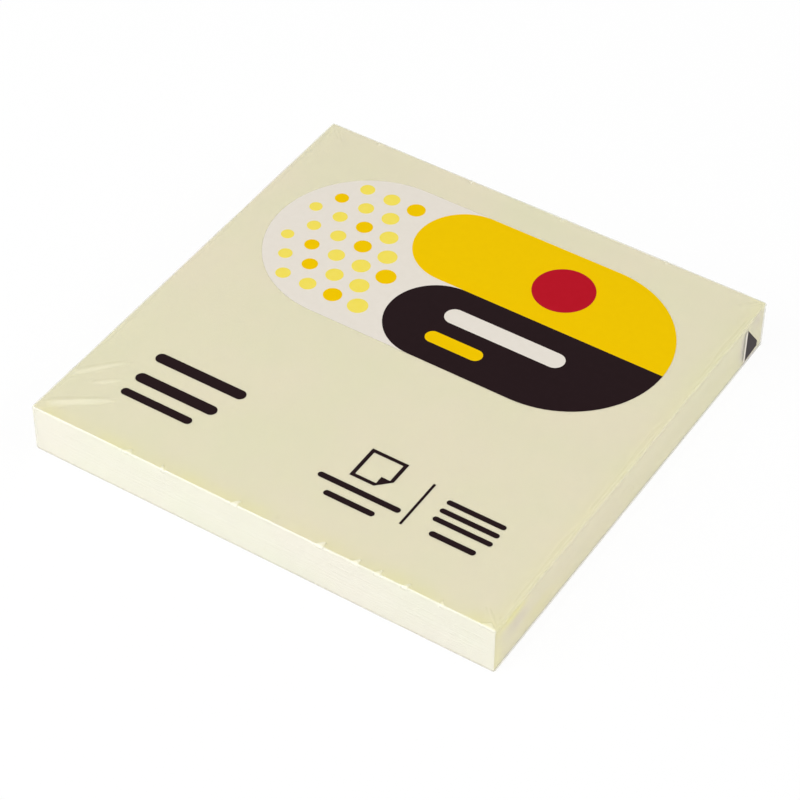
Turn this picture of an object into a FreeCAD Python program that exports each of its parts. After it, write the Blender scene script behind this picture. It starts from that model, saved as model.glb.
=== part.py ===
# A pad of square sticky notes, sealed in a clear film wrap with a printed face, in millimetres.
# The origin is the middle of the underside. X runs along the printed lines, Y to the glued edge, Z up.
import FreeCAD, Part
import Sketcher
import math
import os
import re

doc = FreeCAD.newDocument("sticky_note_pad")

# Driving dimensions: alias, value and what it measures. Every alias has an underscore in it.
SIZES = [
    ("sheet_width", 76.0, "a note, side to side"),
    ("sheet_depth", 76.0, "a note, front edge to glued edge"),
    ("sheet_thickness", 0.08, "one note"),
    ("sheet_count", 100, "notes in the pad"),
    ("backing_thickness", 0.2, "release-coated sheet under the last note"),
    ("film_thickness", 0.03, "clear wrap"),
    ("film_slack", 0.15, "room between the notes' edges and the wrap, which bends round them"),
    ("seam_width", 8.0, "lap of the wrap along the underside"),
    ("flap_reach", 7.2, "end flap, from its bend to its free edge"),
    ("flap_inset", 5.6, "how far the flap's slanting sides come in"),
    ("ink_thickness", 0.01, "one printed colour"),
    ("art_side_gap", 5.0, "printed panel to the notes' side edges"),
    ("art_rear_gap", 6.0, "printed panel to the glued edge"),
    ("art_depth", 32.0, "printed panel, front to rear"),
    ("yellow_start", 20.0, "panel's left end to the yellow bar"),
    ("dark_start", 25.0, "panel's left end to the dark bar"),
    ("spot_diameter", 9.6, "red spot"),
    ("spot_from_right", 21.0, "spot's centre to the panel's right end"),
    ("stripe_left", 8.0, "both stripes on the dark bar, from its left end"),
    ("title_height", 3.2, "white stripe on the dark bar"),
    ("title_length", 20.0, "white stripe on the dark bar"),
    ("title_above", 10.4, "white stripe's middle above the panel's front"),
    ("subtitle_height", 2.4, "yellow stripe on the dark bar"),
    ("subtitle_length", 9.5, "yellow stripe on the dark bar"),
    ("subtitle_above", 5.0, "yellow stripe's middle above the panel's front"),
    ("dot_diameter", 1.9, "the pattern's smallest dots, at its left end"),
    ("dot_growth", 0.14, "what a dot gains over the one half a step to its left"),
    ("dot_pitch", 4.4, "dots of one row, centre to centre"),
    ("dot_margin", 0.7, "dots to the edge of their ground"),
    ("caption_left", 8.3, "caption stripes to the notes' left edge"),
    ("caption_height", 1.9, "two upper caption stripes"),
    ("small_caption_height", 1.4, "lowest caption stripe"),
    ("first_length", 15.5, "upper caption stripe"),
    ("second_length", 13.9, "middle caption stripe"),
    ("third_length", 12.1, "lowest caption stripe"),
    ("first_above", 17.8, "upper stripe's middle to the notes' front edge"),
    ("second_above", 13.0, "middle stripe's middle to the notes' front edge"),
    ("third_above", 9.5, "lowest stripe's middle to the notes' front edge"),
    ("page_size", 6.0, "page sign, outside"),
    ("page_line", 0.6, "page sign, width of its line"),
    ("page_fold", 2.0, "page sign, its turned corner"),
    ("page_from_right", 28.6, "page sign's middle to the notes' right edge"),
    ("page_above", 16.2, "page sign's middle to the notes' front edge"),
    ("size_height", 1.0, "small stripes under the signs"),
    ("long_size_length", 13.4, "upper stripe under the page sign"),
    ("long_size_above", 11.1, "upper stripe's middle to the notes' front edge"),
    ("short_size_length", 8.2, "lower stripe under the page sign"),
    ("short_size_above", 8.6, "lower stripe's middle to the notes' front edge"),
    ("divider_width", 0.4, "thin upright line between the signs"),
    ("divider_length", 8.9, "thin upright line between the signs"),
    ("divider_from_right", 20.7, "thin line's middle to the notes' right edge"),
    ("divider_above", 13.6, "thin line's middle to the notes' front edge"),
    ("stack_length", 9.4, "a stripe of the stacked-sheets sign"),
    ("stack_height", 0.9, "a stripe of the stacked-sheets sign"),
    ("stack_pitch", 1.8, "stacked-sheets sign, stripe to stripe"),
    ("stack_count", 3, "stripes in the stacked-sheets sign"),
    ("stack_from_right", 12.9, "stacked-sheets sign's middle to the notes' right edge"),
    ("stack_above", 14.4, "stacked-sheets sign's middle to the notes' front edge"),
    ("count_length", 7.3, "small stripe under the stacked-sheets sign"),
    ("count_above", 10.0, "that stripe's middle to the notes' front edge"),
    ("scrap_near", 5.7, "printed scrap's upright edge to the wrap's rear corner"),
    ("scrap_far", 2.0, "printed scrap's tip to the wrap's rear corner"),
    ("scrap_tip", 1.0, "height of the scrap's tip"),
    ("scrap_rise", 0.8, "scrap's lowest corner above the flap's bend"),
    ("scrap_border", 0.15, "scrap to the flap's slanting edge"),
    ("scrap_strip", 0.5, "white strip that shows beside the dark scrap"),
]

sizes = doc.addObject("Spreadsheet::Sheet", "sizes")
for row, (alias, value, meaning) in enumerate(SIZES, start=1):
    sizes.set(f"A{row}", alias)
    sizes.set(f"B{row}", str(value))
    sizes.setAlias(f"B{row}", alias)
    sizes.set(f"C{row}", meaning)
doc.recompute()


def in_sheet(formula):
    """The same formula, with each alias read from the sheet."""
    return re.sub(r"\b[a-z]+_\w+\b", lambda word: "sizes." + word.group(0), formula)


def bind(item, **formulas):
    """Ties an object's properties to formulas of the sheet's aliases; x, y and z are its place."""
    for name, formula in formulas.items():
        target = f"Placement.Base.{name}" if name in "xyz" else name
        item.setExpression(target, in_sheet(formula))
    return item


def block(name, x, y, z, length, width, height):
    """A box from its lowest corner."""
    item = doc.addObject("Part::Box", name)
    return bind(item, x=x, y=y, z=z, Length=length, Width=width, Height=height)


def disc(name, x, y, z, diameter, height):
    """A flat disc from the middle of its underside."""
    item = doc.addObject("Part::Cylinder", name)
    return bind(item, x=x, y=y, z=z, Radius=f"({diameter}) / 2", Height=height)


def joined(name, pieces):
    """One solid from pieces that share faces or volume."""
    item = doc.addObject("Part::MultiFuse", name)
    item.Shapes = pieces
    item.Refine = True
    return item


def group(name, pieces):
    """Separate solids that stay separate in one sub-part."""
    item = doc.addObject("Part::Compound", name)
    item.Links = pieces
    return item


def stripe(name, left, middle, base, length, breadth, height):
    """A flat bar with round ends: its left end, centre line and underside, then its sizes."""
    bar = block(
        name + "_bar", f"{left} + ({breadth}) / 2", f"{middle} - ({breadth}) / 2", base,
        f"({length}) - ({breadth})", breadth, height,
    )
    first_end = disc(name + "_left_end", f"{left} + ({breadth}) / 2", middle, base, breadth, height)
    last_end = disc(
        name + "_right_end", f"{left} + ({length}) - ({breadth}) / 2", middle, base, breadth, height,
    )
    return joined(name, [bar, first_end, last_end])


def draw_loop(sketch, corners):
    """Straight lines through the corners, each corner tied to a pair of formulas."""
    start = sketch.GeometryCount
    count = len(corners)
    # Any spread of points will do here: the formulas then pull each corner to its place
    spread = [
        FreeCAD.Vector(math.cos(2 * math.pi * turn / count), math.sin(2 * math.pi * turn / count), 0)
        for turn in range(count)
    ]
    for index in range(count):
        sketch.addGeometry(Part.LineSegment(spread[index], spread[(index + 1) % count]), False)
    for index in range(count):
        following = start + (index + 1) % count
        sketch.addConstraint(Sketcher.Constraint("Coincident", start + index, 2, following, 1))
    for index, (across, up) in enumerate(corners):
        for kind, formula, now in (("DistanceX", across, spread[index].x), ("DistanceY", up, spread[index].y)):
            number = sketch.addConstraint(Sketcher.Constraint(kind, -1, 1, start + index, 1, now))
            sketch.setExpression(f"Constraints[{number}]", in_sheet(formula))


def plate(name, plane_role, loops, thickness):
    """A flat plate padded from closed outlines drawn on one of its body's own planes."""
    body = doc.addObject("PartDesign::Body", name)
    plane = next(item for item in body.Origin.OriginFeatures if item.Role == plane_role)
    sketch = body.newObject("Sketcher::SketchObject", name + "_outline")
    sketch.AttachmentSupport = [(plane, "")]
    sketch.MapMode = "FlatFace"
    for corners in loops:
        draw_loop(sketch, corners)
    pad = body.newObject("PartDesign::Pad", name + "_thickness")
    pad.Profile = sketch
    bind(pad, Length=thickness)
    return body


# Heights, from the underside up: seam, wrap, backing sheet, notes, wrap, inks
WRAP_BASE = "film_thickness"
BACKING_BASE = "(2 * film_thickness)"
NOTES_BASE = "(2 * film_thickness + backing_thickness)"
NOTES_TOP = f"({NOTES_BASE} + sheet_count * sheet_thickness)"
WRAP_TOP = f"({NOTES_TOP} + film_thickness)"
FIRST_INK = WRAP_TOP
SECOND_INK = f"({WRAP_TOP} + ink_thickness)"
THIRD_INK = f"({WRAP_TOP} + 2 * ink_thickness)"

# Places in plan: the notes' edges and the printed panel's
LEFT_EDGE = "(-sheet_width / 2)"
RIGHT_EDGE = "(sheet_width / 2)"
FRONT_EDGE = "(-sheet_depth / 2)"
PANEL_LEFT = "(art_side_gap - sheet_width / 2)"
PANEL_WIDTH = "(sheet_width - 2 * art_side_gap)"
PANEL_FRONT = "(sheet_depth / 2 - art_rear_gap - art_depth)"


# The notes: a hundred loose-edged sheets, each held to the next by a glue stripe along the rear edge
note_block = block(
    "note_block", LEFT_EDGE, FRONT_EDGE, NOTES_BASE,
    "sheet_width", "sheet_depth", "sheet_count * sheet_thickness",
)

# The release-coated sheet that the last note's glue sits on
backing_sheet = block(
    "backing_sheet", LEFT_EDGE, FRONT_EDGE, BACKING_BASE,
    "sheet_width", "sheet_depth", "backing_thickness",
)


def wrap_skin(name, depth_in):
    """One surface of the wrap, as a full block: its outside, or its inside one film further in."""
    body = doc.addObject("PartDesign::Body", name)
    full = body.newObject("PartDesign::AdditiveBox", name + "_block")
    room = f"2 * (film_slack + film_thickness - {depth_in})"
    height = f"({WRAP_TOP} - {WRAP_BASE} - 2 * {depth_in})"
    bind(full, Length=f"sheet_width + {room}", Width=f"sheet_depth + {room}", Height=height)
    bends = body.newObject("PartDesign::Fillet", name + "_bends")
    doc.recompute()
    bends.Base = (full, ["Edge1"])
    bends.UseAllEdges = True
    bind(bends, Radius=f"film_slack + film_thickness - {depth_in}")
    return bind(
        body, x=f"-(sheet_width + {room}) / 2", y=f"-(sheet_depth + {room}) / 2", z=f"{WRAP_BASE} + {depth_in}",
    )


# The wrap: one sheet of film round the pad, lapped along the underside and folded in at both ends.
# Its side ears are tucked in first, then the upper flap comes down and the lower flap goes up over it.
wrap_shell = doc.addObject("Part::Cut", "wrap_shell")
wrap_shell.Base = wrap_skin("wrap_outside", "0")
wrap_shell.Tool = wrap_skin("wrap_inside", "film_thickness")

WRAP_END = "(sheet_width / 2 + film_slack + film_thickness)"
WRAP_REAR = "(sheet_depth / 2 + film_slack + film_thickness)"
BEND = "(film_slack + film_thickness)"
FLAP_HALF = f"({WRAP_REAR} - {BEND})"
FLAP_FREE_HALF = f"({FLAP_HALF} - flap_inset)"
FLAP_ROOT_LOW = f"({WRAP_BASE} + {BEND})"
FLAP_ROOT_HIGH = f"({WRAP_TOP} - {BEND})"


def end_flap(name, root, free, thickness):
    """A flap as wide as the end at its bend, with slanting sides where the ears fold under it."""
    corners = [(f"-{FLAP_HALF}", root), (FLAP_HALF, root), (FLAP_FREE_HALF, free), (f"-{FLAP_FREE_HALF}", free)]
    return bind(plate(name, "YZ_Plane", [corners], thickness), x=WRAP_END)


def on_other_end(item):
    """The same fold at the left end, which mirrors the right one."""
    copy = doc.addObject("Part::Mirroring", item.Name + "_mirrored")
    copy.Source = item
    copy.Normal = FreeCAD.Vector(1, 0, 0)
    return copy


upper_flap = end_flap("upper_flap", FLAP_ROOT_HIGH, f"{FLAP_ROOT_HIGH} - flap_reach", "film_thickness")
lower_flap = end_flap("lower_flap", FLAP_ROOT_LOW, f"{FLAP_ROOT_LOW} + flap_reach", "2 * film_thickness")
seam = block(
    "seam_lap", LEFT_EDGE, "-seam_width / 2", "0", "sheet_width", "seam_width", "film_thickness",
)
film_wrap = joined(
    "film_wrap",
    [wrap_shell, upper_flap, lower_flap, on_other_end(upper_flap), on_other_end(lower_flap), seam],
)

# Where a printed scrap of the film's edge shows on the right end, on the lower flap beside the rear corner
SCRAP_FACE = f"({WRAP_END} + 2 * film_thickness)"
SCRAP_FOOT = f"({FLAP_ROOT_LOW} + scrap_rise)"


def slant_height(from_corner):
    """Height of the scrap's upper edge, which keeps to the lower flap's slanting side."""
    along = f"({from_corner} - {BEND})"
    return f"({FLAP_ROOT_LOW} + {along} * flap_reach / flap_inset - scrap_border * flap_reach / flap_inset)"


def scrap(name, near, base):
    """A four-cornered scrap of print, padded outwards from the flap's face."""
    near_top = slant_height("scrap_near")
    tip_top = slant_height("scrap_far")
    corners = [
        (f"{WRAP_REAR} - {near}", SCRAP_FOOT),
        (f"{WRAP_REAR} - scrap_far", f"{tip_top} - scrap_tip"),
        (f"{WRAP_REAR} - scrap_far", tip_top),
        (f"{WRAP_REAR} - scrap_near", near_top),
        (f"{WRAP_REAR} - {near}", f"{near_top} - ({near} - scrap_near)"),
    ]
    if near == "scrap_near":
        corners.pop()
    return bind(plate(name, "YZ_Plane", [corners], "ink_thickness"), x=base)


def panel(name, base):
    """The printed panel's whole outline: a bar with half-round ends."""
    middle = f"({PANEL_FRONT} + art_depth / 2)"
    return stripe(name, PANEL_LEFT, middle, base, PANEL_WIDTH, "art_depth", "ink_thickness")


def panel_half(name, start, middle):
    """One half of the panel: a bar with a round left end, whose right end keeps the panel's outline."""
    # Longer than the panel by a whole half-round, so that its own right end lies outside
    long_bar = stripe(
        name + "_bar_shape", f"({PANEL_LEFT} + {start})", middle, SECOND_INK,
        f"{PANEL_WIDTH} - {start} + art_depth / 2", "art_depth / 2", "ink_thickness",
    )
    half = doc.addObject("Part::Common", name)
    half.Base = panel(name + "_panel", SECOND_INK)
    half.Tool = long_bar
    return half


# White ink goes down first, under the other colours, because the film is clear
white_print = group("white_print", [
    panel("white_panel", FIRST_INK),
    scrap("white_scrap", "(scrap_near + scrap_strip)", SCRAP_FACE),
])


# The dotted left part of the panel: rows half a step apart, with dots that grow to the right
def panel_dots():
    """Yields row, column and half steps from the left of each dot that has room on the ground."""
    panel_radius = sizes.art_depth / 2
    panel_width = sizes.sheet_width - 2 * sizes.art_side_gap
    row_pitch = sizes.dot_pitch * math.sqrt(3) / 2
    rows = int(panel_radius / row_pitch)
    columns = int(panel_width / sizes.dot_pitch)
    bars = ((sizes.yellow_start, panel_radius / 2), (sizes.dark_start, -panel_radius / 2))
    for row in range(-rows, rows + 1):
        for column in range(columns):
            half_steps = 2 * column + row % 2
            across = sizes.dot_margin + sizes.dot_diameter / 2 + half_steps * sizes.dot_pitch / 2
            up = row * row_pitch
            reach = (sizes.dot_diameter + half_steps * sizes.dot_growth) / 2 + sizes.dot_margin
            from_end = math.hypot(min(across - panel_radius, 0), up)
            clear_of_bars = all(
                math.hypot(min(across - start - panel_radius / 2, 0), up - level) > panel_radius / 2 + reach
                for start, level in bars
            )
            if from_end < panel_radius - reach and clear_of_bars:
                yield row, column, half_steps


def pattern_dot(row, column, half_steps):
    """One dot of the pattern."""
    return disc(
        f"dot_{column}_row_{row}".replace("-", "minus_"),
        f"{PANEL_LEFT} + dot_margin + dot_diameter / 2 + {half_steps} * dot_pitch / 2",
        f"{PANEL_FRONT} + art_depth / 2 + {row} * dot_pitch * sqrt(3) / 2",
        SECOND_INK,
        f"dot_diameter + {half_steps} * dot_growth",
        "ink_thickness",
    )


# Every third dot is in the full yellow, the others in a paler tint
yellow_dots = []
tint_dots = []
for row, column, half_steps in panel_dots():
    shade = yellow_dots if (row + column) % 3 == 0 else tint_dots
    shade.append(pattern_dot(row, column, half_steps))
tint_print = group("tint_print", tint_dots)

# The dark bar, with two stripes left open in it: one shows the white ink, and the other is filled in yellow
DARK_LEFT = f"({PANEL_LEFT} + dark_start + stripe_left)"
TITLE_MIDDLE = f"({PANEL_FRONT} + title_above)"
SUBTITLE_MIDDLE = f"({PANEL_FRONT} + subtitle_above)"


def title(name):
    """The upper stripe on the dark bar."""
    return stripe(name, DARK_LEFT, TITLE_MIDDLE, SECOND_INK, "title_length", "title_height", "ink_thickness")


def subtitle(name):
    """The lower stripe on the dark bar."""
    return stripe(
        name, DARK_LEFT, SUBTITLE_MIDDLE, SECOND_INK, "subtitle_length", "subtitle_height", "ink_thickness",
    )


dark_bar = doc.addObject("Part::Cut", "dark_bar")
dark_bar.Base = panel_half("dark_half", "dark_start", f"({PANEL_FRONT} + art_depth / 4)")
dark_bar.Tool = joined("dark_openings", [title("title_opening"), subtitle("subtitle_opening")])

yellow_bar = panel_half("yellow_bar", "yellow_start", f"({PANEL_FRONT} + 3 * art_depth / 4)")
yellow_print = group("yellow_print", [yellow_bar, subtitle("yellow_stripe")] + yellow_dots)

# A red spot printed over the yellow
red_print = disc(
    "red_print", f"{RIGHT_EDGE} - art_side_gap - spot_from_right", f"{PANEL_FRONT} + 3 * art_depth / 4",
    THIRD_INK, "spot_diameter", "ink_thickness",
)


def caption(name, left, above, length, height):
    """A plain stripe where a line of words would be, straight on the film."""
    return stripe(name, left, f"({FRONT_EDGE} + {above})", FIRST_INK, length, height, "ink_thickness")


def centred(from_right, length):
    """Left end of something whose middle is a distance in from the right edge."""
    return f"({RIGHT_EDGE} - {from_right} - ({length}) / 2)"


# Dark captions on the bare film: three stripes at the left, then signs and small stripes at the right
CAPTION_LEFT = f"({LEFT_EDGE} + caption_left)"
captions = [
    caption("first_caption", CAPTION_LEFT, "first_above", "first_length", "caption_height"),
    caption("second_caption", CAPTION_LEFT, "second_above", "second_length", "caption_height"),
    caption("third_caption", CAPTION_LEFT, "third_above", "third_length", "small_caption_height"),
    caption(
        "long_size", centred("page_from_right", "long_size_length"), "long_size_above",
        "long_size_length", "size_height",
    ),
    caption(
        "short_size", centred("page_from_right", "short_size_length"), "short_size_above",
        "short_size_length", "size_height",
    ),
    caption(
        "count_stripe", centred("stack_from_right", "count_length"), "count_above",
        "count_length", "size_height",
    ),
]
for level in range(int(sizes.stack_count)):
    above = f"(stack_above + ({level} - (stack_count - 1) / 2) * stack_pitch)"
    left = centred("stack_from_right", "stack_length")
    captions.append(caption(f"stack_stripe_{level}", left, above, "stack_length", "stack_height"))

divider = block(
    "divider_line", centred("divider_from_right", "divider_width"),
    f"{FRONT_EDGE} + divider_above - divider_length / 2", FIRST_INK,
    "divider_width", "divider_length", "ink_thickness",
)

# The page sign: an outlined square with its lower right corner turned up and filled
page_outside = [
    ("0", "0"), ("page_size - page_fold", "0"), ("page_size", "page_fold"),
    ("page_size", "page_size"), ("0", "page_size"),
]
page_inside = [
    ("page_line", "page_line"), ("page_size - page_fold", "page_line"), ("page_size - page_fold", "page_fold"),
    ("page_size - page_line", "page_fold"), ("page_size - page_line", "page_size - page_line"),
    ("page_line", "page_size - page_line"),
]
page_sign = bind(
    plate("page_sign", "XY_Plane", [page_outside, page_inside], "ink_thickness"),
    x=centred("page_from_right", "page_size"), y=f"{FRONT_EDGE} + page_above - page_size / 2", z=FIRST_INK,
)

dark_scrap = scrap("dark_scrap", "scrap_near", f"{SCRAP_FACE} + ink_thickness")
dark_print = group("dark_print", [dark_bar, divider, page_sign, dark_scrap] + captions)

# Every object has to be sound before anything is written
doc.recompute()
for item in doc.Objects:
    if "Invalid" in item.State or "Error" in item.State:
        raise RuntimeError(f"{item.Name}: {item.State}")

os.makedirs("parts", exist_ok=True)
for node in (
    note_block, backing_sheet, film_wrap, white_print, tint_print, yellow_print, dark_print, red_print,
):
    node.Label = node.Name
    if node.Shape.isNull() or not node.Shape.isValid():
        raise RuntimeError(f"{node.Label}: the shape is null or not valid")
    node.Shape.exportStep(f"parts/{node.Label}.step")
    low_high = node.Shape.BoundBox
    print(f"{node.Label}: {len(node.Shape.Solids)} solids, {node.Shape.Volume:.3f} mm3, {low_high}")
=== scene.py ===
# A sealed pad of square sticky notes: a block of pale yellow paper in a clear film wrap with a printed face.
# X runs along the printed lines, Y to the notes' glued edge and Z up; all lengths here are in millimetres,
# and turned to metres as each mesh is made.
import math

import bmesh
import bpy
import numpy as np
from mathutils import Matrix, Vector, noise


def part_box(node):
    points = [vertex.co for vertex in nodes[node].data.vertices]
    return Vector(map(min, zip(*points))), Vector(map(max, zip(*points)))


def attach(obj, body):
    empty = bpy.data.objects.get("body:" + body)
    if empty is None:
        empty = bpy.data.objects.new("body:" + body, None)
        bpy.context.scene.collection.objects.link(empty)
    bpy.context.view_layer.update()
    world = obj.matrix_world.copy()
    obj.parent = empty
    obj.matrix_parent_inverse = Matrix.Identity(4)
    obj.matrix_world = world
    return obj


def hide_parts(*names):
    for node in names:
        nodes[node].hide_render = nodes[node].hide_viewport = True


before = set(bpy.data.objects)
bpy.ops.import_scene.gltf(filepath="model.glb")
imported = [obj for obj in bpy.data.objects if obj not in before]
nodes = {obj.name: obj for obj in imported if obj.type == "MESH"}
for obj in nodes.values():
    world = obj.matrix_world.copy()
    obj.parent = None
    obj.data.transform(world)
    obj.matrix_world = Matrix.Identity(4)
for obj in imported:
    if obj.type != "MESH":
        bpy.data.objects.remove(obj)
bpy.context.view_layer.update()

# The notes
# A hundred squares of uncoated, pale yellow dyed paper, each held to the next by a glue stripe along its
# rear edge. The block is trimmed by guillotine, so its sides are even to a few hundredths of a millimetre.
MM = 0.001


def box_mm(node):
    """A CAD node's lowest and highest corners, in millimetres."""
    low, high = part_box(node)
    return low / MM, high / MM


def linear(hex_code):
    """An sRGB hex colour as the linear colour that a shader takes."""
    values = [int(hex_code[place:place + 2], 16) / 255 for place in (1, 3, 5)]
    return [v / 12.92 if v <= 0.04045 else ((v + 0.055) / 1.055) ** 2.4 for v in values] + [1.0]


def add_node(tree, kind, inputs=None, **settings):
    """Adds a node: settings are its own, and inputs give each socket a value or another node's output."""
    node = tree.nodes.new(kind)
    for name, value in settings.items():
        setattr(node, name, value)
    for key, value in (inputs or {}).items():
        if isinstance(value, bpy.types.NodeSocket):
            tree.links.new(value, node.inputs[key])
        else:
            node.inputs[key].default_value = value
    return node


def calculated(tree, operation, *values):
    """A Math node's result for its values, each a number or another node's output."""
    return add_node(tree, "ShaderNodeMath", dict(enumerate(values)), operation=operation).outputs[0]


def facing_along(tree, axis):
    """How squarely the surface faces along one of the object's axes, either way, from 0 to 1."""
    normal = add_node(tree, "ShaderNodeTexCoord").outputs["Normal"]
    return calculated(tree, "ABSOLUTE", add_node(tree, "ShaderNodeSeparateXYZ", {0: normal}).outputs[axis])


def start_material(name, **constants):
    """A material's tree, its shader with those constants set on it, and the object's own coordinates."""
    material = bpy.data.materials.new(name)
    material.use_nodes = True
    tree = material.node_tree
    shader = tree.nodes["Principled BSDF"]
    for socket, value in constants.items():
        shader.inputs[socket.replace("_", " ")].default_value = value
    coords = add_node(tree, "ShaderNodeTexCoord").outputs["Object"]
    return material, tree, shader, coords


def speckle(tree, coords, size, detail=2.0, roughness=0.5, stretch=(1, 1, 1)):
    """Noise from 0 to 1 whose features measure about size millimetres, longer along a stretched axis."""
    scale = [1 / (MM * size * longer) for longer in stretch]
    place = add_node(tree, "ShaderNodeMapping", {"Vector": coords, "Scale": scale})
    return add_node(
        tree, "ShaderNodeTexNoise",
        {"Vector": place.outputs[0], "Scale": 1.0, "Detail": detail, "Roughness": roughness},
    ).outputs[0]


def blended(tree, factor, first, last):
    """A colour between two, by a factor."""
    node = add_node(tree, "ShaderNodeMix", {0: factor, 6: first, 7: last}, data_type="RGBA")
    return node.outputs[2]


def sheet_stack_tree(material):
    """Stacks thin sheets on one another, each a hair out of line, and gives each its own tone."""
    tree = bpy.data.node_groups.new("sheet_stack", "GeometryNodeTree")
    kinds = {
        "Width": "NodeSocketFloat", "Depth": "NodeSocketFloat", "Base": "NodeSocketFloat",
        "Sheets": "NodeSocketInt", "Pitch": "NodeSocketFloat", "Thickness": "NodeSocketFloat",
        "Stray": "NodeSocketFloat", "Seed": "NodeSocketInt",
    }
    for name, kind in kinds.items():
        tree.interface.new_socket(name, in_out="INPUT", socket_type=kind)
    tree.interface.new_socket("Geometry", in_out="OUTPUT", socket_type="NodeSocketGeometry")
    given = add_node(tree, "NodeGroupInput").outputs
    start = add_node(tree, "ShaderNodeCombineXYZ", {"Z": given["Base"]}).outputs[0]
    step = add_node(tree, "ShaderNodeCombineXYZ", {"Z": given["Pitch"]}).outputs[0]
    line = add_node(
        tree, "GeometryNodeMeshLine", {"Count": given["Sheets"], "Start Location": start, "Offset": step},
    ).outputs[0]
    back_stray = calculated(tree, "MULTIPLY", given["Stray"], -1.0)
    lowest = add_node(tree, "ShaderNodeCombineXYZ", {"X": back_stray, "Y": back_stray}).outputs[0]
    highest = add_node(tree, "ShaderNodeCombineXYZ", {"X": given["Stray"], "Y": given["Stray"]}).outputs[0]
    shift = add_node(
        tree, "FunctionNodeRandomValue", {0: lowest, 1: highest, "Seed": given["Seed"]},
        data_type="FLOAT_VECTOR",
    ).outputs[0]
    placed = add_node(tree, "GeometryNodeSetPosition", {"Geometry": line, "Offset": shift}).outputs[0]
    size = add_node(
        tree, "ShaderNodeCombineXYZ", {"X": given["Width"], "Y": given["Depth"], "Z": given["Thickness"]},
    ).outputs[0]
    sheet = add_node(tree, "GeometryNodeMeshCube", {"Size": size}).outputs[0]
    sheets = add_node(tree, "GeometryNodeInstanceOnPoints", {"Points": placed, "Instance": sheet}).outputs[0]
    tone = add_node(tree, "FunctionNodeRandomValue", {"Seed": given["Seed"]}, data_type="FLOAT").outputs[1]
    toned = add_node(
        tree, "GeometryNodeStoreNamedAttribute", {"Geometry": sheets, "Name": "sheet_tone", "Value": tone},
        data_type="FLOAT", domain="INSTANCE",
    ).outputs[0]
    real = add_node(tree, "GeometryNodeRealizeInstances", {"Geometry": toned}).outputs[0]
    finished = add_node(tree, "GeometryNodeSetMaterial", {"Geometry": real, "Material": material}).outputs[0]
    add_node(tree, "NodeGroupOutput", {"Geometry": finished})
    return tree


def made_mesh(name, tree, values):
    """Runs a Geometry Nodes tree with named values and keeps the result as a plain mesh object."""
    maker = bpy.data.objects.new(name + "_maker", bpy.data.meshes.new(name + "_maker"))
    bpy.context.scene.collection.objects.link(maker)
    modifier = maker.modifiers.new("maker", "NODES")
    modifier.node_group = tree
    for item in tree.interface.items_tree:
        if item.in_out == "INPUT":
            modifier[item.identifier] = values[item.name]
    seen = maker.evaluated_get(bpy.context.evaluated_depsgraph_get())
    mesh = bpy.data.meshes.new_from_object(seen)
    maker.modifiers.remove(modifier)
    bpy.data.objects.remove(maker)
    piece = bpy.data.objects.new(name, mesh)
    bpy.context.scene.collection.objects.link(piece)
    return piece


def dyed_paper():
    """Uncoated woodfree paper dyed pale yellow: matt, fibrous close up, and whitened on the faces to the
    front and rear by painted glare.

    Each sheet has its own tone, so the cut edges show as fine lines."""
    material, tree, shader, coords = start_material("dyed_note_paper", Roughness=0.85, IOR=1.45)
    shader.inputs["Specular IOR Level"].default_value = 0.3
    tone = add_node(tree, "ShaderNodeAttribute", attribute_name="sheet_tone").outputs["Fac"]
    pulp = blended(tree, speckle(tree, coords, 6.0, 3.0), linear("#E6DEB4"), linear("#EAE2BC"))
    shaded = blended(tree, tone, linear("#E2D9AF"), linear("#EEE7C4"))
    mixed = blended(tree, 0.5, pulp, shaded)
    # Painted glare: the faces to the front and rear are whiter, for the strong front light and its
    # reflection in the film
    glare_facing_front_rear = facing_along(tree, "Y")
    glare_whitened_sides = blended(tree, tone, linear("#F6F5EB"), linear("#F8F8F0"))
    tree.links.new(blended(tree, glare_facing_front_rear, mixed, glare_whitened_sides), shader.inputs["Base Color"])
    fibres = speckle(tree, coords, 0.35, 4.0, 0.6)
    bump = add_node(tree, "ShaderNodeBump", {"Height": fibres, "Strength": 0.25, "Distance": 0.02 * MM})
    tree.links.new(bump.outputs[0], shader.inputs["Normal"])
    return material


SHEETS = 100
# The room over the top sheet, each sheet's share of the pitch, and how far a sheet strays from the stack
TOP_AIR = 0.012
SHEET_SHARE = 0.98
STRAY = 0.015
note_low, note_high = box_mm("note_block")
sheet_pitch = (note_high.z - note_low.z - TOP_AIR) / SHEETS
notes = made_mesh("note_sheets", sheet_stack_tree(dyed_paper()), {
    "Width": (note_high.x - note_low.x) * MM,
    "Depth": (note_high.y - note_low.y) * MM,
    "Base": (note_low.z + sheet_pitch / 2) * MM,
    "Sheets": SHEETS,
    "Pitch": sheet_pitch * MM,
    "Thickness": sheet_pitch * SHEET_SHARE * MM,
    "Stray": STRAY * MM,
    "Seed": 7,
})
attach(notes, "root")
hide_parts("note_block")

# The backing sheet
# A square of greyish kraft under the last note, coated with silicone so that the last glue stripe peels
# off it. It is cut together with the notes, so its edge is a thin grey line under theirs.


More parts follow.
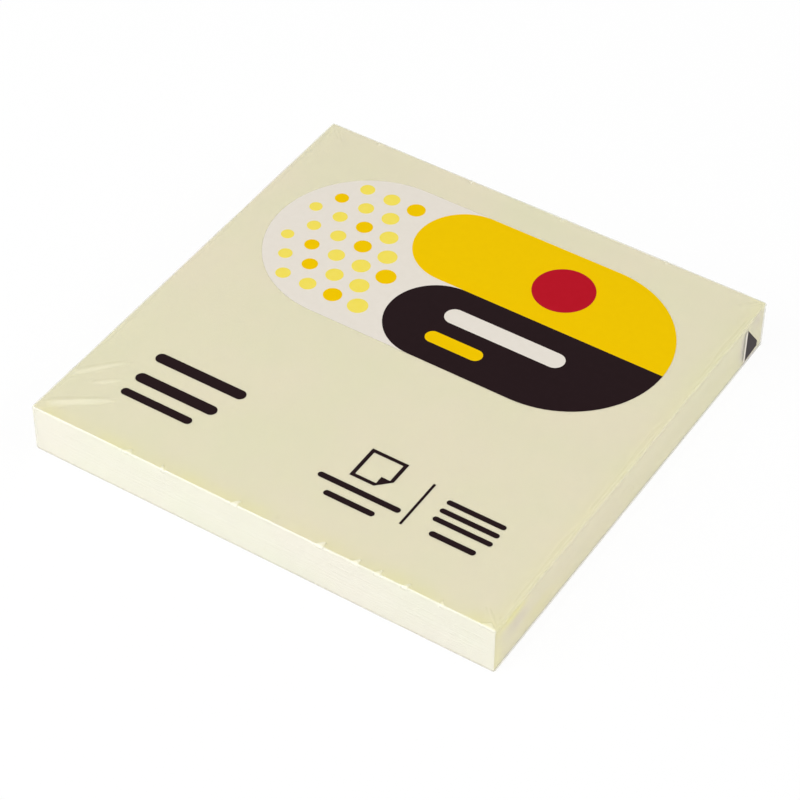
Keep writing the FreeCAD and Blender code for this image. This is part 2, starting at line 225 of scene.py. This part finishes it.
def release_paper():
    """Half-bleached kraft with a silicone release coat: grey-white, faintly mottled, with a dull sheen."""
    material, tree, shader, coords = start_material("release_coated_kraft", Roughness=0.5, IOR=1.43)
    mottle = speckle(tree, coords, 3.0, 4.0)
    coat = blended(tree, mottle, linear("#CFC9B6"), linear("#D8D3C2"))
    # Painted shade: the sheet's cut edges at the ends are darkened, for the shade of the doubled film there
    painted_end_shade = facing_along(tree, "X")
    tree.links.new(blended(tree, painted_end_shade, coat, linear("#8E8970")), shader.inputs["Base Color"])
    pulp = speckle(tree, coords, 0.5, 3.0)
    bump = add_node(tree, "ShaderNodeBump", {"Height": pulp, "Strength": 0.2, "Distance": 0.01 * MM})
    tree.links.new(bump.outputs[0], shader.inputs["Normal"])
    return material


def dress(node, material):
    """Gives a CAD node one material and leaves its shape alone."""
    nodes[node].data.materials.clear()
    nodes[node].data.materials.append(material)


dress("backing_sheet", release_paper())

# The wrap
# One sheet of clear polypropylene film, 0.03 mm thick, pulled round the pad and lapped along the underside.
# Its ends are folded in like an envelope and pressed with a warm plate, which leaves steps and fine
# wrinkles. Tension folds run in from the corners, and small puckers stand along the drawn edges.
FILM = 0.03
# The film's gap under the inks, the radius of its bends, and the width of the lap
PRINT_AIR = 0.002
BEND = 0.3
SEAM = 8.0
# A point this near to one of the wrap's faces counts as on it
ON_FACE = 0.01
# How opaque the film looks, and how opaque on the puckers, which are whitened as a painted highlight
FILM_COVER = 0.24
PUCKER_HIGHLIGHT_COVER = 0.5
# The longest mesh edges: on plain film, on creases, on puckers, on the ends and beside the lap
PLAIN_EDGE = 1.6
CREASE_EDGE = 0.18
PUCKER_EDGE = 0.09
END_EDGE = 0.4
LAP_EDGE = 0.45
wrap_low, wrap_high = box_mm("film_wrap")
HALF_X = wrap_high.x - 2 * FILM
HALF_Y = wrap_high.y
FILM_BASE = wrap_low.z + FILM
FILM_TOP = wrap_high.z - PRINT_AIR


def graded_lines(low, high):
    """Grid lines from low to high: close together at the bends, a coarse step apart in the middle."""
    places = np.linspace(low, high, 4001)
    wanted = 1 / np.minimum(0.06 + 0.4 * np.minimum(places - low, high - places), PLAIN_EDGE)
    passed = np.concatenate([[0], np.cumsum((wanted[1:] + wanted[:-1]) / 2 * np.diff(places))])
    return np.interp(np.linspace(0, passed[-1], math.ceil(passed[-1]) + 1), passed, places)


def face_quads(grid, outward):
    """Quads over a sheet of vertex numbers, turned to face outwards."""
    corners = [grid[:-1, :-1], grid[1:, :-1], grid[1:, 1:], grid[:-1, 1:]]
    return np.stack([corner.ravel() for corner in (corners if outward else corners[::-1])], axis=1)


def smooth_step(low, high, value):
    """From 0 at low to 1 at high, without corners."""
    t = np.clip((value - low) / (high - low), 0, 1)
    return t * t * (3 - 2 * t)


def waves(points, size, offset=0.0):
    """Gentle noise from -1 to 1 with features of those sizes along x, y and z."""
    scaled = points / np.array(size) + offset
    return np.array([noise.noise(Vector(place)) for place in scaled])


def from_segment(points, start, end):
    """How far along a line on the top face each point lies, as a share of it, and how far from it."""
    start, end = np.array(start), np.array(end)
    along = (points[:, :2] - start) @ (end - start) / ((end - start) @ (end - start))
    nearest = start + np.clip(along, 0, 1)[:, None] * (end - start)
    return along, np.linalg.norm(points[:, :2] - nearest, axis=1)


def crease(points, start, end, width, height):
    """A narrow ridge from start to end on the top face, rising from nothing and dying out."""
    along, aside = from_segment(points, start, end)
    rise = smooth_step(-0.1, 0.15, along) * (1 - smooth_step(0.55, 1.1, along))
    narrowing = width * (1.2 - 0.6 * np.clip(along, 0, 1))
    return height * rise * np.clip(1 - aside / narrowing, 0, 1) ** 1.3


# How far a pucker runs in from its edge, how long its tip is, and how tall it is where its painted highlight
# is full
PUCKER_REACH = 0.7
PUCKER_TIP = 0.2
PUCKER_HIGHLIGHT_HEIGHT = 0.45


def pucker(points, edge_side, place, slant, width):
    """1 on a small pointed fold in the film just inside the top's front or rear edge, and 0 off it."""
    inward = HALF_Y - edge_side * points[:, 1]
    narrowing = 1.3 - np.clip(inward / PUCKER_REACH, 0, 1)
    aside = abs(points[:, 0] - place - slant * inward) / (width * narrowing)
    tip = 1 - smooth_step(PUCKER_REACH, PUCKER_REACH + PUCKER_TIP, inward)
    return np.clip(2 * (1 - aside), 0, 1) * tip * (points[:, 2] > FILM_TOP - BEND)


# Tension folds on the top face: start, end, width and height. Three run in from the front left corner,
# two lie along the front edge, and one runs in from each other corner.
CREASES = (
    ((-37.3, -36.5), (-28.6, -30.2), 1.00, 0.36),
    ((-33.9, -29.6), (-30.4, -26.4), 0.60, 0.20),
    ((-37.9, -29.6), (-31.5, -22.5), 0.80, 0.25),
    ((-9.6, -36.6), (-8.0, -36.5), 0.40, 0.12),
    ((2.8, -36.9), (7.2, -36.8), 0.45, 0.15),
    ((37.6, -37.6), (34.6, -34.8), 0.70, 0.18),
    ((37.6, 37.4), (34.4, 34.8), 0.60, 0.14),
    ((-37.6, 37.6), (-34.4, 34.6), 0.60, 0.14),
)
# Puckers where the film was drawn over the front (-1) and rear (1) edges: edge, place, slant, width, height
PUCKERS = (
    (-1, -21.6, 0.4, 0.80, 0.20), (-1, -15.6, -0.4, 0.40, 0.18), (-1, -3.6, 0.8, 0.60, 0.34),
    (-1, 10.3, 0.8, 0.70, 0.34), (-1, 16.1, 0.6, 0.60, 0.30), (-1, 19.7, 0.5, 0.50, 0.26),
    (-1, 24.0, 0.6, 0.50, 0.26), (-1, 29.8, -0.3, 0.40, 0.18), (-1, 36.9, 0.0, 1.20, 0.16),
    (1, -29.0, -0.3, 0.50, 0.22), (1, -12.5, 0.3, 0.45, 0.26), (1, 4.0, -0.4, 0.50, 0.22),
    (1, 21.5, 0.3, 0.45, 0.26),
)
# Lilac and yellow casts on the right end where the film's folds press on one another, partly the folds' own
# colour and partly painted glare from their facets: y, z, half sizes, strength
END_CASTS_AND_GLARE = (
    (-33.8, 7.3, 2.8, 0.8, 1.3), (-32.6, 5.2, 2.4, 1.4, -0.55), (-26.5, 2.6, 4.5, 1.4, 0.35),
    (35.4, 6.9, 1.1, 1.4, -0.55), (34.6, 0.6, 2.5, 0.5, -0.6), (31.0, 4.6, 0.5, 2.2, -0.9),
    (37.4, 4.2, 0.8, 4.5, -0.5),
)
# How far from an edge the film is slack
SLACK_REACH = 0.9


def to_nearest_edge(points):
    """How far each point of the plain wrap lies from the wrap's nearest edge."""
    x, y, z = points.T
    to_faces = np.stack([HALF_X - abs(x), HALF_Y - abs(y), np.minimum(FILM_TOP - z, z - FILM_BASE)])
    return np.sort(to_faces, axis=0)[1]


def film_lift(points, normals):
    """How far each point of the plain wrap stands out from the tight film, in millimetres."""
    z = points[:, 2]
    slack = 0.10 + 0.05 * waves(points, (7, 7, 30)) + 0.02 * waves(points, (2.2, 2.2, 9), 5.3)
    slack *= 0.45 + 0.55 * smooth_step(1.0, 7.0, z)
    # The four upright edges are drawn tight
    to_upright = np.hypot(HALF_X - abs(points[:, 0]), HALF_Y - abs(points[:, 1]))
    slack *= 1 - 0.8 * np.exp(-((to_upright / SLACK_REACH) ** 2)) * (z < FILM_TOP - 0.5)
    lift = np.clip(slack, 0.04, None) * np.exp(-((to_nearest_edge(points) / SLACK_REACH) ** 2))
    # The front and rear stand a little off the paper, in upright waves
    side = smooth_step(0.3, 0.9, abs(normals[:, 1]))
    lift += side * (0.03 + 0.04 * waves(points, (4.5, 4.5, 25), 2.1))
    for start, end, width, height in CREASES:
        lift += crease(points, start, end, width, height) * (z > FILM_TOP - BEND)
    return lift


# How far an end flap reaches, how much it narrows on each side, where the side ears end, and how wide
# the step is that a layer's edge leaves in the layer over it
FLAP_REACH = 7.2
FLAP_INSET = 5.6
TUCK_EDGE = 32.4
STEP_WIDTH = 0.12


def flap_cover(points, rising):
    """How much an end flap covers each point: 1 on it, 0 off it, with its slanting sides and free edge."""
    y, z = points[:, 1], points[:, 2]
    height = (z - FILM_BASE - BEND) if rising else (FILM_TOP - BEND - z)
    half = HALF_Y - BEND - FLAP_INSET * np.clip(height, 0, None) / FLAP_REACH
    within_sides = smooth_step(-STEP_WIDTH, 0.0, half - abs(y))
    return within_sides * smooth_step(-STEP_WIDTH, 0.0, FLAP_REACH - height)


def end_fold(points, normals):
    """What the folded ends add: ears, two flaps, one over the other, and crumpling from the warm plate."""
    y, z = points[:, 1], points[:, 2]
    lower, upper = flap_cover(points, True), flap_cover(points, False)
    tuck = smooth_step(TUCK_EDGE - STEP_WIDTH, TUCK_EDGE, abs(y))
    layers = 2 * FILM * lower + FILM * (upper + tuck) * (1 - lower)
    grain = waves(points, (30, 6, 1.6), 3.7) + 0.5 * waves(points, (30, 3, 0.9), 9.1)
    crumple = 0.02 * (1 + grain) * smooth_step(0.0, 0.5, np.minimum(z - FILM_BASE, FILM_TOP - z) - 0.1)
    return (layers + crumple) * smooth_step(0.4, 0.95, abs(normals[:, 0]))


def film_tint_and_glare(points, normals):
    """The film's cast at each point: up to 1 for pale yellow at its bends, down to -1 for lilac at folds,
    with painted glare on the right end.
    """
    x, y, z = points.T
    on_top = smooth_step(0.5, 0.9, normals[:, 2])
    on_end = smooth_step(0.5, 0.9, abs(normals[:, 0]))
    patches = 0.5 + 0.5 * waves(points, (3.5, 3.5, 3.0), 7.7)
    front_band = 0.6 * patches * np.exp(-(((y + HALF_Y) / 2.0) ** 2)) * on_top
    end_bend = 0.2 * np.exp(-(((HALF_X - x) / 2.0) ** 2)) * on_top
    corner_band = 0.25 * smooth_step(HALF_Y - 2.0, HALF_Y - 1.4, abs(y)) * on_end
    low_on_end = 0.15 * patches * smooth_step(6.0, 2.0, z) * on_end
    tint = front_band + end_bend + corner_band + low_on_end
    # Partly painted glare: lilac and yellow patches on the right end's folds
    for cast_y, cast_z, half_y, half_z, strength in END_CASTS_AND_GLARE:
        patch = np.exp(-(((y - cast_y) / half_y) ** 2 + ((z - cast_z) / half_z) ** 4))
        tint += strength * patch * on_end * (x > 0)
    return np.clip(tint, -1, 1)


# Where print lies: the panel and the captions on the top, by x and y, and the scrap on the right end,
# by y and z
PANEL = ((-33.6, 33.6), (-0.4, 32.6))
CAPTIONS = ((-30.0, 33.6), (-30.2, 32.6))
SCRAP = ((31.6, 36.6), (0.8, 7.9))


def within(places, spans, margin):
    """1 where each column of places lies in its span, and 0 farther outside than the margin."""
    inside = np.ones(len(places))
    for column, (first, last) in zip(places.T, spans):
        inside *= smooth_step(-margin, 0, column - first) * smooth_step(-margin, 0, last - column)
    return inside


def top_is_flat(points):
    """1 where the print lies on the wrap's top, which the paper under it keeps flat, and 0 away from it."""
    printed = np.maximum(within(points[:, :2], PANEL, 0.8), within(points[:, :2], CAPTIONS, 0.8))
    return printed * (points[:, 2] > FILM_TOP - ON_FACE)


def scrap_is_flat(points):
    """1 where the printed scrap lies on the right end, and 0 away from it."""
    return within(points[:, 1:], SCRAP, 0.6) * (points[:, 0] > HALF_X - ON_FACE)


def plain_box(lines):
    """A closed box whose faces are divided along the same lines, as a mesh under edit."""
    shape = tuple(len(line) for line in lines)
    on_skin = np.zeros(shape, bool)
    for axis in range(3):
        ends = [slice(None)] * 3
        for ends[axis] in (0, -1):
            on_skin[tuple(ends)] = True
    number = np.full(shape, -1)
    number[on_skin] = np.arange(on_skin.sum())
    cells = np.argwhere(on_skin)
    places = np.stack([lines[axis][cells[:, axis]] for axis in range(3)], axis=1)
    quads = np.concatenate([
        face_quads(number[:, :, -1], True), face_quads(number[:, :, 0], False),
        face_quads(number[-1, :, :], True), face_quads(number[0, :, :], False),
        face_quads(number[:, 0, :], True), face_quads(number[:, -1, :], False),
    ])
    mesh = bpy.data.meshes.new("plain_box")
    mesh.from_pydata(places.tolist(), [], quads.tolist())
    box = bmesh.new()
    box.from_mesh(mesh)
    bpy.data.meshes.remove(mesh)
    return box


def edge_length_wanted(points, lengths):
    """How long the mesh edges with those middles may be, to carry the wrap's folds."""
    x, y, z = points.T
    wanted = np.minimum(0.32 + 0.35 * to_nearest_edge(points), PLAIN_EDGE)
    for start, end, width, _ in CREASES:
        aside = from_segment(points, start, end)[1]
        near = aside < 1.2 * width + lengths / 2
        wanted = np.where(near & (z > FILM_TOP - ON_FACE), np.minimum(wanted, CREASE_EDGE), wanted)
    for edge_side, place, slant, width, _ in PUCKERS:
        inward = HALF_Y - edge_side * y
        near = abs(x - place - slant * inward) < 1.4 * width + lengths / 2
        near &= inward < PUCKER_REACH + PUCKER_TIP + lengths / 2
        wanted = np.where(near & (FILM_TOP - z < BEND), np.minimum(wanted, PUCKER_EDGE), wanted)
    on_end = abs(x) > HALF_X - ON_FACE
    wanted = np.where(on_end, np.minimum(wanted, END_EDGE), wanted)
    beside_lap = (z < FILM_BASE + ON_FACE) & (abs(abs(y) - SEAM / 2) < 0.6)
    return np.where(beside_lap, np.minimum(wanted, LAP_EDGE), wanted)


def divided(box):
    """Splits the mesh edges that are longer than wanted, in up to five rounds."""
    for _ in range(5):
        middles = np.array([(edge.verts[0].co + edge.verts[1].co) / 2 for edge in box.edges])
        lengths = np.array([edge.calc_length() for edge in box.edges])
        long_edges = lengths > 1.3 * edge_length_wanted(middles, lengths)
        if not long_edges.any():
            break
        chosen = [edge for edge, is_long in zip(list(box.edges), long_edges) if is_long]
        bmesh.ops.subdivide_edges(box, edges=chosen, cuts=1, use_grid_fill=True)
    return box


def wrapped_film():
    """The wrap's outside: a box with bent edges, divided finely where it is lifted into its folds."""
    box = divided(plain_box([
        graded_lines(-HALF_X, HALF_X), graded_lines(-HALF_Y, HALF_Y), graded_lines(FILM_BASE, FILM_TOP),
    ]))
    flat = np.array([vertex.co for vertex in box.verts])
    low = np.array([-HALF_X, -HALF_Y, FILM_BASE]) + BEND
    high = np.array([HALF_X, HALF_Y, FILM_TOP]) - BEND
    core = np.clip(flat, low, high)
    normals = (flat - core) / np.linalg.norm(flat - core, axis=1)[:, None]
    tight = core + BEND * normals
    printed = scrap_is_flat(tight)
    lift = film_lift(tight, normals) * (1 - top_is_flat(tight)) * (1 - printed)
    fold = end_fold(tight, normals) * (1 - printed) + (2 * FILM - PRINT_AIR) * printed
    loose = tight + normals * (lift + fold)[:, None]
    # Painted highlight: the puckers are whitened, for the front soft box that their slopes catch
    pucker_highlight = np.zeros(len(tight))
    for edge_side, place, slant, width, height in PUCKERS:
        on_pucker = pucker(tight, edge_side, place, slant, width)
        inward = HALF_Y - edge_side * tight[:, 1]
        loose[:, 2] += height * np.clip(inward / PUCKER_REACH, 0, 1) * on_pucker
        pucker_highlight = np.maximum(pucker_highlight, on_pucker * height / PUCKER_HIGHLIGHT_HEIGHT)
    # The lap seam lies under the middle of the underside, and the table presses the rest flat
    lap = (normals[:, 2] < -0.5) * (1 - smooth_step(SEAM / 2 - 0.1, SEAM / 2 + 0.1, abs(loose[:, 1])))
    under = FILM_BASE - FILM * lap
    loose[:, 2] = np.where(loose[:, 2] < FILM_BASE + 0.001, under, loose[:, 2])
    for vertex, place in zip(box.verts, loose * MM):
        vertex.co = place
    mesh = bpy.data.meshes.new("wrap_film")
    box.to_mesh(mesh)
    box.free()
    mesh.shade_smooth()
    mesh.attributes.new("film_tint_and_glare", "FLOAT", "POINT").data.foreach_set("value", film_tint_and_glare(tight, normals))
    mesh.attributes.new("film_pucker_highlight", "FLOAT", "POINT").data.foreach_set("value", pucker_highlight)
    piece = bpy.data.objects.new("wrap_film", mesh)
    bpy.context.scene.collection.objects.link(piece)
    # The wall is a little thinner than the film, so that it stays clear of the paper
    wall = piece.modifiers.new("film_thickness", "SOLIDIFY")
    wall.thickness = 0.8 * FILM * MM
    wall.offset = -1
    wall.use_rim = False
    return piece


def clear_film():
    """Clear polypropylene film: colourless and glossy, with a slight haze from the fine wrinkles in it.

    It looks yellower where it bends, lilac where its layers lie on one another and where glare is painted
    on the right end's folds, and whitened on the puckers as a painted highlight."""
    material, tree, shader, coords = start_material("clear_polypropylene", IOR=2.4)
    cloud = add_node(
        tree, "ShaderNodeMapRange",
        {"Value": speckle(tree, coords, 14.0, 2.0, 0.6), "From Min": 0.35, "From Max": 0.65},
    ).outputs[0]
    cast = add_node(tree, "ShaderNodeAttribute", attribute_name="film_tint_and_glare").outputs["Fac"]
    # Lilac from the right end's patches: the film's layers and painted glare
    folded = add_node(
        tree, "ShaderNodeMapRange", {"Value": cast, "From Min": 0.0, "From Max": -1.0},
    ).outputs[0]
    plain = blended(tree, cloud, linear("#F1F2DE"), linear("#F6F1E4"))
    bent = blended(tree, cast, plain, linear("#FAFA9E"))
    tinted_for_layers_and_glare = blended(tree, folded, bent, linear("#CBBFDC"))
    # Painted highlight: whiter, more opaque and rougher on the puckers
    pucker_highlight = add_node(tree, "ShaderNodeAttribute", attribute_name="film_pucker_highlight").outputs["Fac"]
    tree.links.new(blended(tree, pucker_highlight, tinted_for_layers_and_glare, linear("#F8F5E4")), shader.inputs["Base Color"])
    haze = add_node(
        tree, "ShaderNodeMapRange",
        {"Value": speckle(tree, coords, 9.0, 3.0), "To Min": 0.14, "To Max": 0.24},
    ).outputs[0]
    # The warm plate leaves the film dull where it bends onto the ends
    facing = add_node(tree, "ShaderNodeTexCoord").outputs["Normal"]
    facing_parts = add_node(tree, "ShaderNodeSeparateXYZ", {0: facing}).outputs
    on_end = calculated(tree, "ABSOLUTE", facing_parts["X"])
    at_bend = calculated(tree, "MULTIPLY", on_end, facing_parts["Z"])
    dulled = calculated(tree, "MULTIPLY_ADD", at_bend, 1.1, haze)
    softened = calculated(tree, "MULTIPLY_ADD", pucker_highlight, 0.4, dulled)
    tree.links.new(softened, shader.inputs["Roughness"])
    cover = add_node(
        tree, "ShaderNodeMapRange", {"Value": pucker_highlight, "To Min": FILM_COVER, "To Max": PUCKER_HIGHLIGHT_COVER},
    ).outputs[0]
    tree.links.new(cover, shader.inputs["Alpha"])
    ripple = speckle(tree, coords, 4.0, 3.0, 0.55)
    soft = add_node(
        tree, "ShaderNodeBump", {"Height": ripple, "Strength": 0.25, "Distance": 0.15 * MM},
    ).outputs[0]
    # Fine wrinkles run along the pressed ends
    wrinkles = speckle(tree, coords, 1.1, 3.0, 0.6, stretch=(1, 6, 1))
    pressed = calculated(tree, "MULTIPLY", wrinkles, on_end)
    creased = add_node(
        tree, "ShaderNodeBump", {"Height": pressed, "Strength": 0.5, "Distance": 0.12 * MM, "Normal": soft},
    ).outputs[0]
    tree.links.new(creased, shader.inputs["Normal"])
    return material


film = wrapped_film()
film.data.materials.append(clear_film())
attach(film, "root")
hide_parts("film_wrap")

# The print
# Solvent inks printed on the film before it is cut: white first, which hides the paper behind it, then a
# pale tint, yellow, dark brown and red, each a few thousandths of a millimetre thick.


def ink(name, first, last, roughness):
    """Solvent ink on film: flat and even, with a soft gloss, and faintly mottled where it dried unevenly."""
    material, tree, shader, coords = start_material(name, Roughness=roughness, IOR=1.5)
    shader.inputs["Specular IOR Level"].default_value = 0.03
    mottle = speckle(tree, coords, 1.2, 4.0, 0.6)
    tree.links.new(blended(tree, mottle, linear(first), linear(last)), shader.inputs["Base Color"])
    ripple = speckle(tree, coords, 4.0, 3.0, 0.55)
    bump = add_node(tree, "ShaderNodeBump", {"Height": ripple, "Strength": 0.15, "Distance": 0.1 * MM})
    tree.links.new(bump.outputs[0], shader.inputs["Normal"])
    return material


for node, first, last, roughness in (
    ("white_print", "#E3DCD0", "#E9E2D8", 0.3),
    ("tint_print", "#F1DC4E", "#F4E26A", 0.3),
    ("yellow_print", "#EEC200", "#F3C800", 0.3),
    ("dark_print", "#201315", "#25171A", 0.3),
    ("red_print", "#B31122", "#B91628", 0.3),
):
    dress(node, ink(node.replace("print", "solvent_ink"), first, last, roughness))

# The camera
# It looks down at the pad from the front right, as the picture does, with the pad turned to a corner.
AZIMUTH, ELEVATION, ROLL = math.radians(32.135), math.radians(44.139), math.radians(0.875)
TARGET = Vector((-0.223, -1.418, 0.0)) * MM
DISTANCE = 407.3 * MM
LENS = 126.1
camera_data = bpy.data.cameras.new("camera")
camera_data.sensor_width = 36.0
camera_data.lens = LENS
camera = bpy.data.objects.new("camera", camera_data)
bpy.context.scene.collection.objects.link(camera)
back = Vector((
    math.sin(AZIMUTH) * math.cos(ELEVATION), -math.cos(AZIMUTH) * math.cos(ELEVATION), math.sin(ELEVATION),
))
level_right = Vector((math.cos(AZIMUTH), math.sin(AZIMUTH), 0))
level_up = back.cross(level_right)
right = level_right * math.cos(ROLL) + level_up * math.sin(ROLL)
up = level_up * math.cos(ROLL) - level_right * math.sin(ROLL)
turned = Matrix((right, up, back)).transposed().to_4x4()
turned.translation = TARGET + back * DISTANCE
camera.matrix_world = turned
bpy.context.scene.camera = camera

# The studio
# A white table that fades into a white room, with one soft box at the pad's front left, a stronger one
# behind its right end, and a small one overhead.


def seen_directly(tree):
    """1 for rays that see the background straight or in a gloss, and 0 for the light it sheds."""
    path = add_node(tree, "ShaderNodeLightPath").outputs
    straight = calculated(tree, "MAXIMUM", path["Is Camera Ray"], path["Is Glossy Ray"])
    return calculated(tree, "MAXIMUM", straight, path["Is Transmission Ray"])


def white_room(fill):
    """A world that looks white and lights the pad evenly at a plain level."""
    world = bpy.data.worlds.new("white_room")
    world.use_nodes = True
    tree = world.node_tree
    strength = add_node(
        tree, "ShaderNodeMapRange", {"Value": seen_directly(tree), "To Min": fill, "To Max": 1.0},
    ).outputs[0]
    tree.links.new(strength, tree.nodes["Background"].inputs["Strength"])
    tree.nodes["Background"].inputs["Color"].default_value = linear("#FFFFFF")
    bpy.context.scene.world = world


def white_table(half_width, whiteness):
    """A matt white table top that looks white and keeps the pad's shadow."""
    mesh = bpy.data.meshes.new("table")
    corners = [(-1, -1), (1, -1), (1, 1), (-1, 1)]
    mesh.from_pydata([(half_width * x, half_width * y, 0) for x, y in corners], [], [(0, 1, 2, 3)])
    table = bpy.data.objects.new("table", mesh)
    bpy.context.scene.collection.objects.link(table)
    material, tree, shader, _ = start_material("white_table", Roughness=0.9)
    shader.inputs["Specular IOR Level"].default_value = 0.0
    shader.inputs["Base Color"].default_value = linear("#FFFFFF")
    glow = add_node(tree, "ShaderNodeEmission", {"Color": linear("#FFFFFF"), "Strength": 1.0}).outputs[0]
    share = calculated(tree, "MULTIPLY", seen_directly(tree), whiteness)
    mixed = add_node(tree, "ShaderNodeMixShader", {0: share, 1: shader.outputs[0], 2: glow}).outputs[0]
    tree.links.new(mixed, tree.nodes["Material Output"].inputs["Surface"])
    mesh.materials.append(material)


def soft_box(name, azimuth, elevation, distance, size, watts):
    """A square lamp that faces the pad from a direction given as the camera's is."""
    lamp_data = bpy.data.lights.new(name, "AREA")
    lamp_data.size = size
    lamp_data.energy = watts
    lamp = bpy.data.objects.new(name, lamp_data)
    bpy.context.scene.collection.objects.link(lamp)
    a, e = math.radians(azimuth), math.radians(elevation)
    away = Vector((math.sin(a) * math.cos(e), -math.cos(a) * math.cos(e), math.sin(e)))
    lamp.location = away * distance
    lamp.rotation_mode = "QUATERNION"
    lamp.rotation_quaternion = away.to_track_quat("Z", "Y")


white_room(fill=0.15)
white_table(half_width=2.0, whiteness=0.93)
soft_box("soft_box_front", azimuth=-35, elevation=28, distance=0.8, size=0.86, watts=6.6)
soft_box("soft_box_right", azimuth=118, elevation=24, distance=1.3, size=1.4, watts=14.2)
soft_box("soft_box_overhead", azimuth=10, elevation=84, distance=0.8, size=0.4, watts=1.6)
bpy.context.scene.view_settings.view_transform = "Standard"
